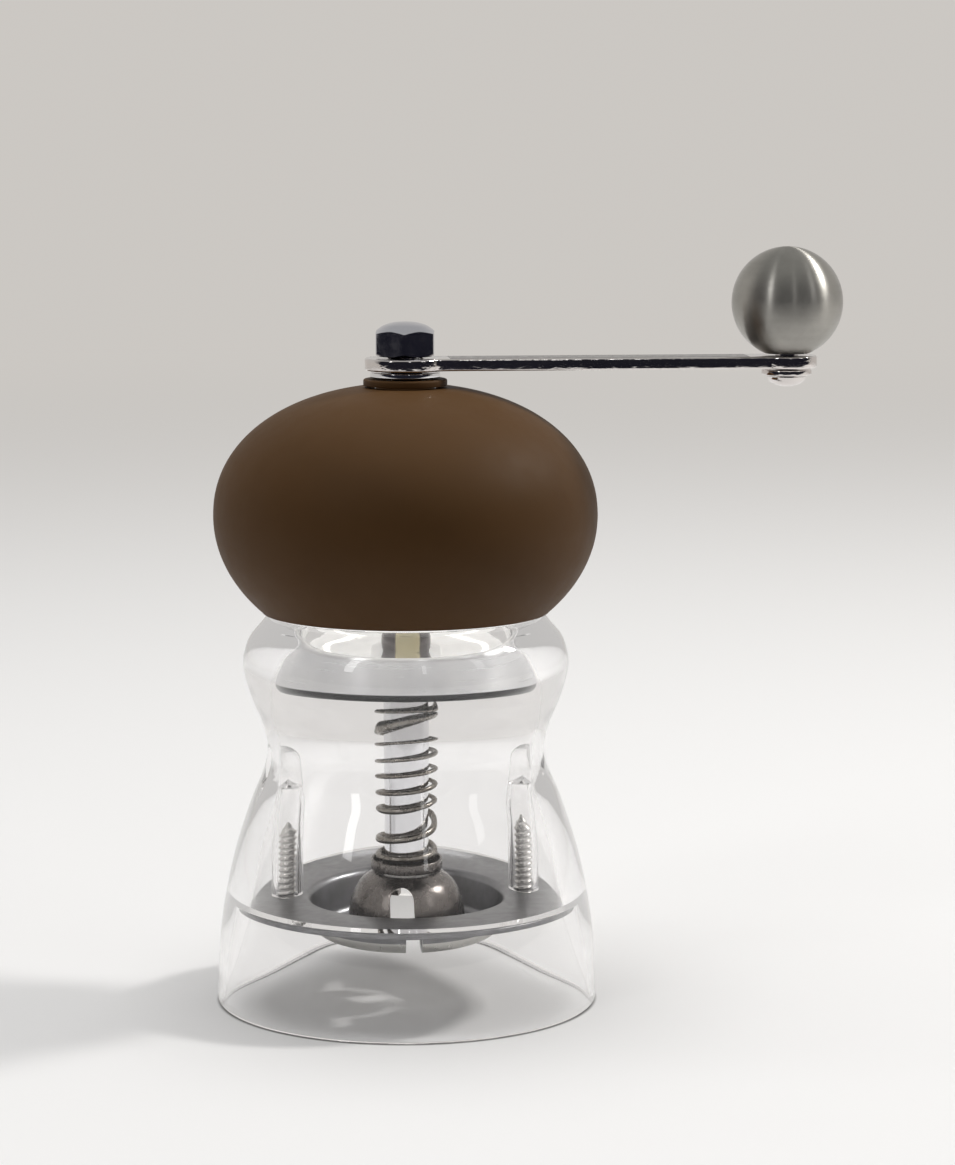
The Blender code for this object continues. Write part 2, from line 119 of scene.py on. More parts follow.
def finish_mesh(name, bm, mat, sharp=35.0):
    """Turns a bmesh in millimetres into an object, shaded smooth but for its sharp edges."""
    bmesh.ops.remove_doubles(bm, verts=bm.verts, dist=0.0005)
    bmesh.ops.dissolve_degenerate(bm, edges=bm.edges, dist=0.0001)
    bmesh.ops.recalc_face_normals(bm, faces=bm.faces)
    bmesh.ops.scale(bm, verts=bm.verts, vec=(MM, MM, MM))
    mesh = bpy.data.meshes.new(name)
    bm.to_mesh(mesh)
    bm.free()
    mesh.shade_smooth()
    mesh.set_sharp_from_angle(angle=math.radians(sharp))
    mesh.materials.append(mat)
    obj = bpy.data.objects.new(name, mesh)
    bpy.context.scene.collection.objects.link(obj)
    return obj


def lathe(name, outline, mat, steps=SMALL_STEPS, sharp=35.0):
    """Turns an (r, z) outline about Z. Its stretches along the axis aren't turned."""
    bm = bmesh.new()
    verts = [bm.verts.new((r, 0.0, z)) for r, z in outline]
    off_axis = [pair for pair in zip(verts, verts[1:]) if pair[0].co.x + pair[1].co.x > 0]
    edges = [bm.edges.new(pair) for pair in off_axis]
    if outline[0][0] > 0 or outline[-1][0] > 0:
        edges.append(bm.edges.new((verts[-1], verts[0])))
    bmesh.ops.spin(bm, geom=verts + edges, cent=(0, 0, 0), axis=(0, 0, 1),
                   angle=2 * math.pi, steps=steps, use_merge=True)
    return finish_mesh(name, bm, mat, sharp)


def prism(name, outline, bottom, top, mat):
    """Extrudes a flat (x, y) outline from bottom to top."""
    bm = bmesh.new()
    face = bm.faces.new([bm.verts.new((x, y, bottom)) for x, y in outline])
    moved = bmesh.ops.extrude_face_region(bm, geom=[face])["geom"]
    corners = [v for v in moved if isinstance(v, bmesh.types.BMVert)]
    bmesh.ops.translate(bm, verts=corners, vec=(0, 0, top - bottom))
    return finish_mesh(name, bm, mat)


def cut(obj, cutter, operation="DIFFERENCE"):
    boolean = obj.modifiers.new(cutter.name, "BOOLEAN")
    boolean.operation = operation
    boolean.solver = "EXACT"
    boolean.object = cutter


def ease(obj, width, segments=3, angle=40):
    """Rounds an object's sharp edges."""
    bevel = obj.modifiers.new("eased_edges", "BEVEL")
    bevel.width = width * MM
    bevel.segments = segments
    bevel.limit_method = "ANGLE"
    bevel.angle_limit = math.radians(angle)
    bevel.miter_outer = "MITER_ARC"


def settle(obj, sharp=35.0):
    """Applies an object's modifiers, and removes the guides that cut it."""
    bpy.context.view_layer.update()
    evaluated = obj.evaluated_get(bpy.context.evaluated_depsgraph_get())
    mesh = bpy.data.meshes.new_from_object(evaluated)
    guides = [m.object for m in obj.modifiers if m.type == "BOOLEAN"]
    obj.modifiers.clear()
    obj.data = mesh
    mesh.shade_smooth()
    mesh.set_sharp_from_angle(angle=math.radians(sharp))
    for guide in set(guides):
        bpy.data.objects.remove(guide, do_unlink=True)
    return obj


def line(piece, mat, chosen):
    """Gives a second material to the faces that a test on their centre and normal picks."""
    piece.data.materials.append(mat)
    for face in piece.data.polygons:
        if chosen(face.center, face.normal):
            face.material_index = 1


def stand_for(piece, node, axis=MILL_AXIS):
    """Puts a piece on its axis in the place of a CAD node, with that node's body, and hides the node.
    """
    piece.location.x += axis
    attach(piece, BODY_OF[node])
    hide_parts(node)
    return piece


# ---------------------------------------------------------------------------- light and node trees

PALE = (0.60, 0.575, 0.545)             # far wall and table
PALE_THROUGH = (0.74, 0.72, 0.70)       # the same, seen through the clear body
ROOM_DARK = (0.013, 0.013, 0.020)       # near side of the room
ROOM_LIGHT = (0.60, 0.585, 0.565)       # far side of the room
CEILING = (0.50, 0.50, 0.49)
SHADE_LOST_INSIDE = 0.8                 # share of the dark room that the acrylic's inside misses


class Graph:
    """A node tree, with short ways to add sums, colours and tests on the ray."""

    def __init__(self, tree):
        self.tree = tree

    def link(self, source, target):
        self.tree.links.new(source, target)

    def sum(self, operation, first, second=0.0, third=0.0):
        node = self.tree.nodes.new("ShaderNodeMath")
        node.operation = operation
        for socket, value in zip(node.inputs, (first, second, third)):
            if isinstance(value, (int, float)):
                socket.default_value = value
            else:
                self.link(value, socket)
        return node.outputs["Value"]

    def step(self, value, low, high):
        """A soft step from 0 at low to 1 at high."""
        node = self.tree.nodes.new("ShaderNodeMapRange")
        node.interpolation_type = "SMOOTHSTEP"
        node.inputs["From Min"].default_value = low
        node.inputs["From Max"].default_value = high
        self.link(value, node.inputs["Value"])
        return node.outputs["Result"]

    def mix(self, factor, first, second):
        """Blends two colours, each of them a tuple or a socket."""
        node = self.tree.nodes.new("ShaderNodeMix")
        node.data_type = "RGBA"
        self.link(factor, node.inputs["Factor"])
        for source, socket in zip((first, second), [s for s in node.inputs if s.type == "RGBA"]):
            if isinstance(source, tuple):
                socket.default_value = (*source, 1.0)
            else:
                self.link(source, socket)
        return [s for s in node.outputs if s.type == "RGBA"][0]

    def mirrored(self):
        """The ray, and 1 if a mirror turned it, but less where that was inside clear acrylic."""
        ray = self.tree.nodes.new("ShaderNodeLightPath")
        turned = self.sum("MINIMUM", ray.outputs["Glossy Depth"], 1.0)
        inside = self.sum("MINIMUM", ray.outputs["Transmission Depth"], 1.0)
        share = self.sum("MULTIPLY_ADD", inside, -SHADE_LOST_INSIDE, 1.0)
        return ray, self.sum("MULTIPLY", turned, share)

    def pale(self):
        """Colour of the far surroundings: brighter through the clear acrylic."""
        ray = self.tree.nodes.new("ShaderNodeLightPath")
        inside = self.sum("MINIMUM", ray.outputs["Transmission Depth"], 1.0)
        return self.mix(inside, PALE, PALE_THROUGH)

    def glow(self, factor, surface, color):
        """Turns a surface into a light of one colour, given as a tuple or a socket."""
        light = self.tree.nodes.new("ShaderNodeEmission")
        if isinstance(color, tuple):
            light.inputs["Color"].default_value = (*color, 1.0)
        else:
            self.link(color, light.inputs["Color"])
        choose = self.tree.nodes.new("ShaderNodeMixShader")
        self.link(factor, choose.inputs["Fac"])
        self.link(surface, choose.inputs[1])
        self.link(light.outputs["Emission"], choose.inputs[2])
        return choose.outputs["Shader"]


class Nodes(Graph):
    """A new material's node tree."""

    def __init__(self, name):
        self.material = bpy.data.materials.new(name)
        self.material.use_nodes = True
        super().__init__(self.material.node_tree)
        self.shader = self.tree.nodes["Principled BSDF"]
        self.place = self.tree.nodes.new("ShaderNodeTexCoord").outputs["Object"]

    def set(self, **values):
        for name, value in values.items():
            self.shader.inputs[name.replace("_", " ")].default_value = value

    def surface(self, source):
        """Puts another shader in the place of the material's own."""
        self.link(source, self.tree.nodes["Material Output"].inputs["Surface"])

    def along(self, axis):
        """One object coordinate, in metres."""
        split = self.tree.nodes.new("ShaderNodeSeparateXYZ")
        self.link(self.place, split.inputs["Vector"])
        return split.outputs[axis]

    def stretched(self, scale):
        """Object coordinates in metres, stretched by a factor along each axis."""
        mapping = self.tree.nodes.new("ShaderNodeMapping")
        mapping.inputs["Scale"].default_value = scale
        self.link(self.place, mapping.inputs["Vector"])
        return mapping.outputs["Vector"]

    def noise(self, scale, detail=3.0, rough=0.55, vector=None):
        node = self.tree.nodes.new("ShaderNodeTexNoise")
        node.inputs["Scale"].default_value = scale
        node.inputs["Detail"].default_value = detail
        node.inputs["Roughness"].default_value = rough
        self.link(vector or self.place, node.inputs["Vector"])
        return node.outputs["Fac"]

    def ramp(self, source, stops):
        """A colour ramp. stops are (position, (r, g, b))."""
        node = self.tree.nodes.new("ShaderNodeValToRGB")
        elements = node.color_ramp.elements
        while len(elements) < len(stops):
            elements.new(0.5)
        for element, (position, color) in zip(elements, stops):
            element.position = position
            element.color = (*color, 1.0)
        self.link(source, node.inputs["Fac"])
        return node.outputs["Color"]

    def span(self, source, low, high, new_low, new_high):
        node = self.tree.nodes.new("ShaderNodeMapRange")
        node.inputs["From Min"].default_value = low
        node.inputs["From Max"].default_value = high
        node.inputs["To Min"].default_value = new_low
        node.inputs["To Max"].default_value = new_high
        self.link(source, node.inputs["Value"])
        return node.outputs["Result"]

    def bump(self, source, distance, strength=1.0, after=None):
        node = self.tree.nodes.new("ShaderNodeBump")
        node.inputs["Distance"].default_value = distance
        node.inputs["Strength"].default_value = strength
        self.link(source, node.inputs["Height"])
        if after is not None:
            self.link(after, node.inputs["Normal"])
        self.link(node.outputs["Normal"], self.shader.inputs["Normal"])
        return node.outputs["Normal"]

    def edge_wear(self, low=0.52, high=0.60):
        """1 along convex edges, 0 elsewhere."""
        geometry = self.tree.nodes.new("ShaderNodeNewGeometry")
        return self.span(geometry.outputs["Pointiness"], low, high, 0.0, 1.0)


# ---------------------------------------------------------------------------- materials

GUIDED_TURNS = 3                        # after these turns inside the clear wall, a ray shows a painted glow of one tone
PAINTED_WALL_GLOW = (0.52, 0.51, 0.50)
CREAM = [(0.3, (0.74, 0.66, 0.42)), (0.7, (0.82, 0.75, 0.52))]
CREAM_WIDTH = 2.0                       # half width of the cream stripe painted on the sleeve
CREAM_TOP = 58.0


def clear_acrylic():
    """Polished acrylic: faintly wavy, with hairline scratches, and a painted glow of one tone where a
    ray has turned three times inside the wall.
    """
    n = Nodes("clear_acrylic")
    n.set(Base_Color=(0.993, 0.99, 0.99, 1.0), Roughness=0.0, IOR=1.49, Transmission_Weight=1.0)
    scratches = n.noise(900.0, 2.0, 0.6, n.stretched((1.0, 1.0, 0.12)))
    n.link(n.span(scratches, 0.70, 0.78, 0.0, 0.05), n.shader.inputs["Roughness"])
    n.bump(n.noise(55.0, 1.0), 0.00006, 0.35)
    # painted glow: deep inside the wall the acrylic gives a flat light of one tone instead of what it
    # reflects
    ray = n.tree.nodes.new("ShaderNodeLightPath")
    guided = n.span(ray.outputs["Glossy Depth"], GUIDED_TURNS - 0.5, GUIDED_TURNS, 0.0, 1.0)
    n.surface(n.glow(guided, n.shader.outputs["BSDF"], PAINTED_WALL_GLOW))
    return n.material


def brown_soft_touch():
    """Matte brown plastic with a silky sheen and a very fine grain."""
    n = Nodes("brown_soft_touch")
    browns = [(0.3, (0.084, 0.0405, 0.0130)), (0.7, (0.095, 0.0465, 0.0155))]
    tone = n.ramp(n.noise(40.0, 4.0), browns)
    n.link(tone, n.shader.inputs["Base Color"])
    n.set(IOR=1.46, Specular_IOR_Level=0.17)
    n.link(n.span(n.noise(300.0), 0.3, 0.7, 0.56, 0.62), n.shader.inputs["Roughness"])
    n.bump(n.noise(5200.0, 2.0), 0.00003, 0.30)
    return n.material


def chrome_plate(name, tint, low, high, dents=0.0):
    """Bright plating with a soft orange peel, fine wear and dents of a given depth in metres."""
    n = Nodes(name)
    n.set(Metallic=1.0)
    tone = n.ramp(n.noise(120.0, 4.0), [(0.35, tint), (0.7, tuple(c * 0.9 for c in tint))])
    n.link(tone, n.shader.inputs["Base Color"])
    n.link(n.span(n.noise(800.0, 5.0, 0.7), 0.35, 0.75, low, high), n.shader.inputs["Roughness"])
    peel = n.bump(n.noise(420.0, 2.0), 0.00004, 0.35)
    if dents:
        n.bump(n.noise(520.0, 3.0, 0.6, n.stretched((0.35, 1.0, 1.0))), dents, 0.8, peel)
    return n.material


def brushed_steel(name, light, dark, roughness, line_scale, grain, shade_band_top=None):
    """Satin steel with fine lines round the vertical axis; painted shade: black below a given height,
    if one is given.
    """
    n = Nodes(name)
    n.set(Metallic=1.0, Anisotropic=0.92, Anisotropic_Rotation=0.25)
    tangent = n.tree.nodes.new("ShaderNodeTangent")
    tangent.direction_type = "RADIAL"
    tangent.axis = "Z"
    n.link(tangent.outputs["Tangent"], n.shader.inputs["Tangent"])
    lines = n.noise(line_scale, 4.0, 0.65, n.stretched((0.02, 0.02, 1.0)))
    patches = n.noise(160.0, 4.0)
    tone = n.mix(n.span(patches, 0.35, 0.7, 0.0, 1.0), light, dark)
    # painted shade: a black band along the lower edge, for the dark line that the clear wall shows
    # there
    if shade_band_top:
        steel = n.span(n.along("Z"), (shade_band_top - 0.1) * MM, shade_band_top * MM, 0.0, 1.0)
        tone = n.mix(steel, (0.02, 0.02, 0.02), tone)
    n.link(tone, n.shader.inputs["Base Color"])
    satin = n.span(lines, 0.3, 0.7, roughness - 0.04, roughness + 0.04)
    n.link(satin, n.shader.inputs["Roughness"])
    n.bump(lines, grain, 0.5)
    return n.material


def worn_steel(name, dark, mid, bright, roughness, wear=0.8, pits=0.5):
    """Hardened steel: dark and blotchy, rubbed bright along its edges."""
    n = Nodes(name)
    n.set(Metallic=1.0)
    blotches = n.ramp(n.noise(330.0, 5.0, 0.65), [(0.35, dark), (0.72, mid)])
    worn = n.edge_wear()
    ragged = n.span(n.noise(1500.0, 4.0, 0.7), 0.35, 0.6, 0.0, wear)
    rubbed = n.sum("MULTIPLY", worn, ragged)
    n.link(n.mix(rubbed, blotches, bright), n.shader.inputs["Base Color"])
    satin = n.span(n.noise(700.0, 5.0), 0.3, 0.7, roughness - 0.06, roughness + 0.06)
    n.link(satin, n.shader.inputs["Roughness"])
    n.bump(n.noise(1600.0, 4.0), 0.00005, pits)
    return n.material


def painted_glow_white():
    """White plastic under the lid with a painted glow, which stands for the light that the clear wall
    carries up to it; the shaft's lower end gets it too.
    """
    n = Nodes("painted_glow_white")
    tone = n.ramp(n.noise(150.0), [(0.3, (0.84, 0.83, 0.81)), (0.7, (0.90, 0.89, 0.87))])
    n.link(tone, n.shader.inputs["Base Color"])
    # painted glow: the surface gives light of its own, in its own white
    n.link(tone, n.shader.inputs["Emission Color"])
    n.set(Roughness=0.35, Emission_Strength=0.55)
    n.bump(n.noise(1800.0), 0.00002, 0.4)
    return n.material


def sleeve_chrome():
    """Dark bright tube with a cream stripe painted on its front and back, below CREAM_TOP."""
    n = Nodes("sleeve_chrome")
    beside = n.sum("ABSOLUTE", n.along("X"))
    width = n.span(beside, CREAM_WIDTH * MM, (CREAM_WIDTH + 0.3) * MM, 1.0, 0.0)
    height = n.span(n.along("Z"), CREAM_TOP * MM, (CREAM_TOP + 0.3) * MM, 1.0, 0.0)
    cream = n.sum("MULTIPLY", width, height)
    tone = n.ramp(n.noise(200.0), CREAM)
    n.link(n.mix(cream, (0.16, 0.15, 0.15), tone), n.shader.inputs["Base Color"])
    n.link(n.span(cream, 0.0, 1.0, 1.0, 0.0), n.shader.inputs["Metallic"])
    n.set(Roughness=0.25)
    return n.material


def cream_nylon():
    n = Nodes("cream_nylon")
    n.link(n.ramp(n.noise(200.0), CREAM), n.shader.inputs["Base Color"])
    n.set(Roughness=0.4, Subsurface_Weight=0.15, Subsurface_Scale=0.002)
    n.bump(n.noise(2500.0), 0.00003, 0.4)
    return n.material


ACRYLIC = clear_acrylic()
BROWN = brown_soft_touch()
CHROME = chrome_plate("chrome_plate", (0.82, 0.82, 0.84), 0.04, 0.13)
BRUSHED = brushed_steel("brushed_ball_steel", (0.42, 0.405, 0.375), (0.33, 0.32, 0.295), 0.36, 3200.0,
                        0.000002)
# the cup gets a black band of painted shade along its lower edge
CUP_STEEL = brushed_steel("brushed_cup_steel", (0.74, 0.74, 0.74), (0.66, 0.66, 0.67), 0.30, 3000.0,
                          0.000008, shade_band_top=54.15)
PRESSED = worn_steel("pressed_steel", (0.20, 0.20, 0.205), (0.27, 0.27, 0.28), (0.62, 0.62, 0.62),
                     0.34, wear=0.12, pits=0.12)
DARK = worn_steel("dark_cast_steel", (0.165, 0.15, 0.14), (0.185, 0.17, 0.16), (0.55, 0.52, 0.49),
                  0.26, wear=0.25, pits=0.05)
SPRING = worn_steel("spring_steel", (0.16, 0.14, 0.12), (0.34, 0.32, 0.29), (0.60, 0.58, 0.55),
                    0.28, wear=0.3)
NYLON = cream_nylon()
PAINTED_GLOW_WHITE = painted_glow_white()
SLEEVE = sleeve_chrome()
WORN_CHROME = chrome_plate("worn_chrome_plate", (0.74, 0.70, 0.68), 0.05, 0.16, dents=0.00016)
# painted reflection: dark plating that stands for the dark that the bar's chrome top reflects
ARM_TOP_DARK_REFLECTION = chrome_plate("arm_top_dark_reflection", (0.13, 0.115, 0.11), 0.14, 0.30, dents=0.00016)
ZINC = chrome_plate("zinc_plate", (0.66, 0.65, 0.63), 0.16, 0.30)
# partly a smoother satin finish, partly painted light: brighter than the plate's top, for the light
# that the table throws up
DISH_UNDERSIDE = chrome_plate("dish_underside", (0.66, 0.65, 0.62), 0.26, 0.36)
NUT_CHROME = chrome_plate("nut_chrome", (0.60, 0.60, 0.64), 0.07, 0.15)
POLISHED = chrome_plate("polished_cup", (0.90, 0.90, 0.90), 0.03, 0.08)


# ---------------------------------------------------------------------------- body and plate

BASE_RADIUS = 30.95
BODY_TOP = 63.7
SHAFT_RADIUS = 3.65
BORE = SHAFT_RADIUS + GAP
MOUTH_RADIUS = 21.7
NECK_RADIUS = 20.4
SEAT_HEIGHT = 17.2
SEAT_INNER_RADIUS = 25.3
SKIRT_WALL = 1.3
PLATE_THICK = 0.9
PLATE_RADIUS = 27.9
PILLAR_RADIUS = 2.5
PILLAR_TOP = 43.0
SCREW_RADIUS = 1.5
SCREW_PITCH = 0.92
PILOT_TOP = 36.0
SCREW_TIP = 28.4
SCREW_CORE = 1.22
HEAD_RADIUS = 2.8
PLATE_HOLE_RADIUS = 1.85
SLOT_WIDTH = 2.6
SLOT_PLACE = 13.0
DISH_MOUTH = 10.2
SCREW_CIRCLE = (middle("plate_screw_right").x - middle("plate_screw_left").x) / 2 / MM


def body_outline():
    """Foot, bell-shaped outside, rolled shoulder, rim, tapered inside, ledge and skirt's inside."""
    foot = arc((BASE_RADIUS - 0.7, 0.7), 0.7, -90, 0, 6)
    side = through([(30.95, 2.4), (30.5, 11.0), (29.6, 17.3), (27.9, 25.0), (25.3, 33.0),
                    (23.25, 38.0), (22.55, 42.2), (23.45, 46.2), (25.1, 50.2), (26.4, 55.2),
                    (25.6, 59.3), (23.4, 62.2), (22.5, BODY_TOP - 0.3)], 6)
    mouth = [(22.2, BODY_TOP), (MOUTH_RADIUS + 0.2, BODY_TOP), (MOUTH_RADIUS, BODY_TOP - 0.3)]
    hopper = through([(MOUTH_RADIUS, 52.0), (21.1, 47.5), (NECK_RADIUS, 42.5), (20.9, 37.5),
                      (22.3, 31.0), (24.0, 24.0), (SEAT_INNER_RADIUS, SEAT_HEIGHT)], 6)
    skirt = [(PLATE_RADIUS + GAP, SEAT_HEIGHT), (BASE_RADIUS - SKIRT_WALL, 1.0),
             (BASE_RADIUS - SKIRT_WALL + 0.1, 0.0)]
    return foot + side + mouth + hopper + skirt


def screw_places():
    """Side and distance from the mill's axis of each plate screw."""
    return [("left", -SCREW_CIRCLE), ("right", SCREW_CIRCLE)]


def clear_body():
    body = lathe("clear_body_fine", body_outline(), ACRYLIC, steps=ROUND_STEPS, sharp=30)
    body.rotation_euler.z = math.pi / ROUND_STEPS
    pillar_side = arc((0, PILLAR_TOP - PILLAR_RADIUS), PILLAR_RADIUS, 0, 90, 8)[:-1]
    solid = [(0, SEAT_HEIGHT + 0.02), (PILLAR_RADIUS + 0.1, SEAT_HEIGHT + 0.02)] + pillar_side
    pilot_radius = SCREW_RADIUS + GAP
    pilot = [(0, SEAT_HEIGHT - 2), (pilot_radius, SEAT_HEIGHT - 2), (pilot_radius, PILOT_TOP - 1.8)]
    for side, x in screw_places():
        pillar = lathe(f"pillar_{side}", solid + [(0, PILLAR_TOP)], ACRYLIC, steps=40)
        drill = lathe(f"drill_{side}", pilot + [(0, PILOT_TOP)], ACRYLIC, steps=32)
        for guide, operation in ((pillar, "UNION"), (drill, "DIFFERENCE")):
            guide.location.x = x * MM
            cut(body, guide, operation)
    settle(body, 30)
    body.visible_shadow = False
    body.visible_diffuse = False
    return stand_for(body, "clear_body")


def plate_outline():
    """Flat rim, rounded mouth, steep side and flat floor of the dish, with an open middle."""
    top = SEAT_HEIGHT - GAP
    thick = PLATE_THICK
    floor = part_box("base_plate")[0].z / MM
    corner = (13.9, floor + 2.1)
    upper = arc((PLATE_RADIUS - 0.2, top - 0.2), 0.2, 0, 90, 3)
    upper += arc((16.9, top - 1.2), 1.2, 90, 170, 8)
    upper += arc(corner, 2.1 - thick, -10, -90, 8)
    upper += arc((DISH_MOUTH + 0.15, floor + thick - 0.15), 0.15, 90, 180, 3)
    lower = arc((DISH_MOUTH + 0.15, floor + 0.15), 0.15, 180, 270, 3)
    lower += arc(corner, 2.1, -90, -10, 10)
    lower += arc((17.3, top - 1.5), 0.6, 170, 90, 5)
    lower += arc((PLATE_RADIUS - 0.2, top - thick + 0.2), 0.2, -90, 0, 3)
    return upper + lower


def base_plate():
    plate = lathe("base_plate_fine", plate_outline(), PRESSED, steps=ROUND_STEPS)
    plate.rotation_euler.z = math.pi / ROUND_STEPS
    for side, x in screw_places():
        rim = arc((0, 0), PLATE_HOLE_RADIUS, 0, 348, 29)
        hole = prism(f"plate_hole_{side}", rim, 14, 18, PRESSED)
        hole.location.x = x * MM
        cut(plate, hole)
    for side, y in (("front", -SLOT_PLACE), ("back", SLOT_PLACE)):
        slot = prism(f"plate_slot_{side}", square(SLOT_WIDTH), 8, 15.0, PRESSED)
        slot.scale.y = 3.0
        slot.location.y = y * MM
        cut(plate, slot)
    settle(plate)
    # painted light: the dish's downward faces get the brighter plating
    line(plate, DISH_UNDERSIDE, lambda centre, normal: normal.z < -0.05 and centre.z < 13.0 * MM
         and centre.xy.length < 16.5 * MM)
    return stand_for(plate, "base_plate")


def thread(name, bottom, top, core, crest, pitch, mat, taper=1.6, steps=48, rings=10):
    """A screw thread: a turned stem whose radius follows a helix, running out to a point."""
    bm = bmesh.new()
    count = int((top - bottom) / pitch * rings)
    rows = []
    for row in range(count + 1):
        z = bottom + (top - bottom) * row / count
        full = min(1.0, (top - z) / taper + 0.12)
        ring = []
        for step in range(steps):
            turn = step / steps
            phase = ((z - bottom) / pitch - turn) % 1.0
            ridge = max(0.0, 1.0 - abs(phase - 0.5) / 0.32)
            radius = (core + (crest - core) * ridge) * full
            angle = 2 * math.pi * turn
            ring.append(bm.verts.new((radius * math.cos(angle), radius * math.sin(angle), z)))
        rows.append(ring)
    for lower, upper in zip(rows, rows[1:]):
        for step in range(steps):
            after = (step + 1) % steps
            bm.faces.new((lower[step], lower[after], upper[after], upper[step]))
    bm.faces.new(rows[0][::-1])
    bm.faces.new(rows[-1])
    return finish_mesh(name, bm, mat, 50)


def plate_screw(side, x):
    """Pan-head screw with a cross recess and a coarse thread."""
    head_top = SEAT_HEIGHT - 2 * GAP - PLATE_THICK
    pan = [(0, head_top - 1.5)] + arc((HEAD_RADIUS - 1.1, head_top - 0.4), 1.1, -85, 0, 8)
    head = lathe(f"screw_head_{side}", pan + [(HEAD_RADIUS, head_top), (0, head_top)], ZINC)
    stem = thread(f"plate_screw_{side}_fine", head_top - 0.2, SCREW_TIP, SCREW_CORE, SCREW_RADIUS,
                  SCREW_PITCH, ZINC)
    cut(stem, head, "UNION")
    for turn in (45, 135):
        recess = prism(f"driver_recess_{side}_{turn}", square(0.7), head_top - 2, head_top - 0.8,
                       ZINC)
        recess.scale.x = 3.6
        recess.rotation_euler.z = math.radians(turn)
        cut(stem, recess)
    settle(stem, 40)
    stem.location.x = x * MM
    return stand_for(stem, f"plate_screw_{side}")


# ---------------------------------------------------------------------------- lid

DOME_CENTRE = 79.6
DOME_RISE = 21.2
DOME_DROP = 23.35
DOME_POWER = 2.15
DOME_WALL = 3.0
DOME_RADIUS = 31.0
DOME_BOTTOM = 64.0
DOME_TOP = 100.2
BUSH_HOLE = 5.0
FLANGE_RADIUS = 6.75
FLANGE_TOP = 101.6
PLUG_BOTTOM = 60.9
PLUG_FLOOR = 64.2
PLUG_TOP = 66.4
PLUG_RADIUS = 17.5
GUIDE_RADIUS = 6.4
GUIDE_TOP = 67.4
SLEEVE_RADIUS = 4.45
SLEEVE_TOP = 59.4

CUP_RADIUS = 21.3
CUP_BOTTOM = 53.1
CUP_RIM = 58.6
CUP_WALL = 0.8


def dome_curve(radius, rise, drop, inner_r, steps):
    """Half outline of the lid from its top hole, over the equator and down to its lower edge."""
    power = 2 / DOME_POWER
    start = math.acos((inner_r / radius) ** (1 / power))
    upper = []
    for step in range(steps + 1):
        angle = start * (1 - step / steps)
        height = DOME_CENTRE + rise * math.sin(angle) ** power
        upper.append((radius * math.cos(angle) ** power, height))
    end = math.asin((DOME_CENTRE - DOME_BOTTOM - 0.25) / drop)
    lower = []
    for step in range(1, steps + 1):
        angle = end * step / steps
        lower.append((radius * math.cos(angle), DOME_CENTRE - drop * math.sin(angle)))
    return upper + lower


def dome_shell():
    """Hollow lid; its lower edge is eased and its top runs flat to the bush."""
    outside = dome_curve(DOME_RADIUS, DOME_RISE, DOME_DROP, 8.4, 36)
    outside[0] = (outside[0][0], DOME_TOP)
    edge = outside[-1][0]
    outside += [(edge - 0.12, DOME_BOTTOM + 0.08), (edge - 0.35, DOME_BOTTOM)]
    inside = dome_curve(DOME_RADIUS - DOME_WALL, DOME_RISE - DOME_WALL, DOME_DROP - DOME_WALL,
                        9.0, 16)
    inside[-1] = (inside[-1][0], DOME_BOTTOM)
    boss = [(9.0, 92.0), (BUSH_HOLE, 92.0), (BUSH_HOLE, DOME_TOP)]
    shell = lathe("dome_shell_fine", outside + inside[::-1] + boss, BROWN, steps=ROUND_STEPS)
    middle_of_lid = Vector((0, 0, DOME_CENTRE * MM))
    # painted glow: the lid's inside and lower edge are glowing white instead of brown
    line(shell, PAINTED_GLOW_WHITE, lambda centre, normal: normal.dot(centre - middle_of_lid) < 0
         or (centre.z < (DOME_BOTTOM + 0.05) * MM and normal.z < -0.9))
    return stand_for(shell, "dome_shell")


